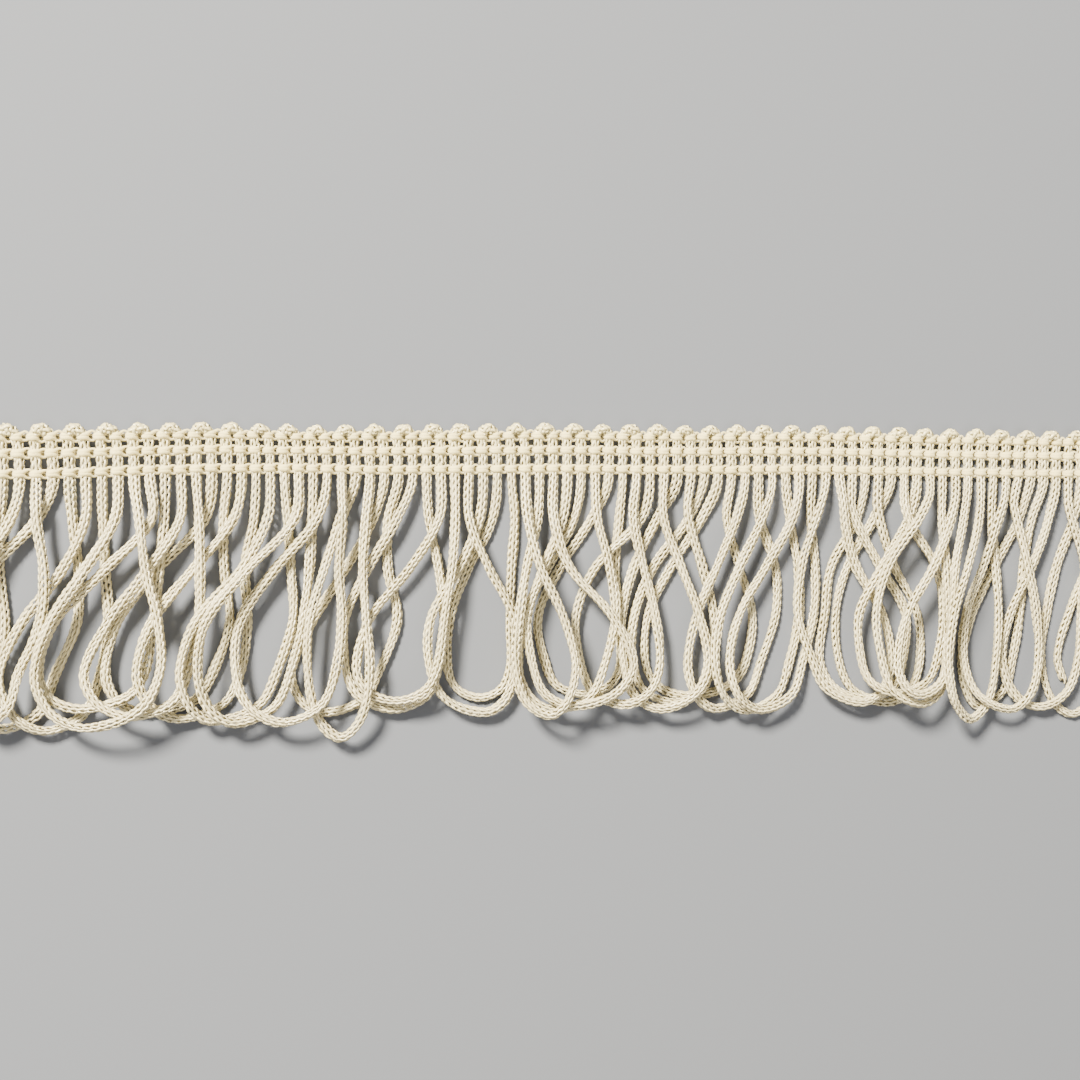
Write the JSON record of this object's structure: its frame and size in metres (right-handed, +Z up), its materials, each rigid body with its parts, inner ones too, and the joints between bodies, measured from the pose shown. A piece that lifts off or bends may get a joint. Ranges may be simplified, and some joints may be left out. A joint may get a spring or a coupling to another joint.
{
  "type": "chainette loop fringe trim",
  "caption": "Cut length of fringe trim lying flat: a chain-stitched heading with a scalloped picot edge, and long overlapping loops of knitted chainette cord.",
  "frame": {"origin": "middle of the trim's length and depth, on the surface that it lies on", "axes": "+X along the trim, +Y from the loops to the picot edge, +Z up off the surface"},
  "size_m": [0.2398, 0.0638, 0.0093],
  "materials": {
    "chain_stitch_yarn": "matte spun yarn, pale cream",
    "chainette_cord": "knitted chainette cord, soft sheen, ivory"
  },
  "bodies": {
    "root": {"picot_heading": "chain_stitch_yarn", "loop_fringe": "chainette_cord"}
  },
  "joints": []
}
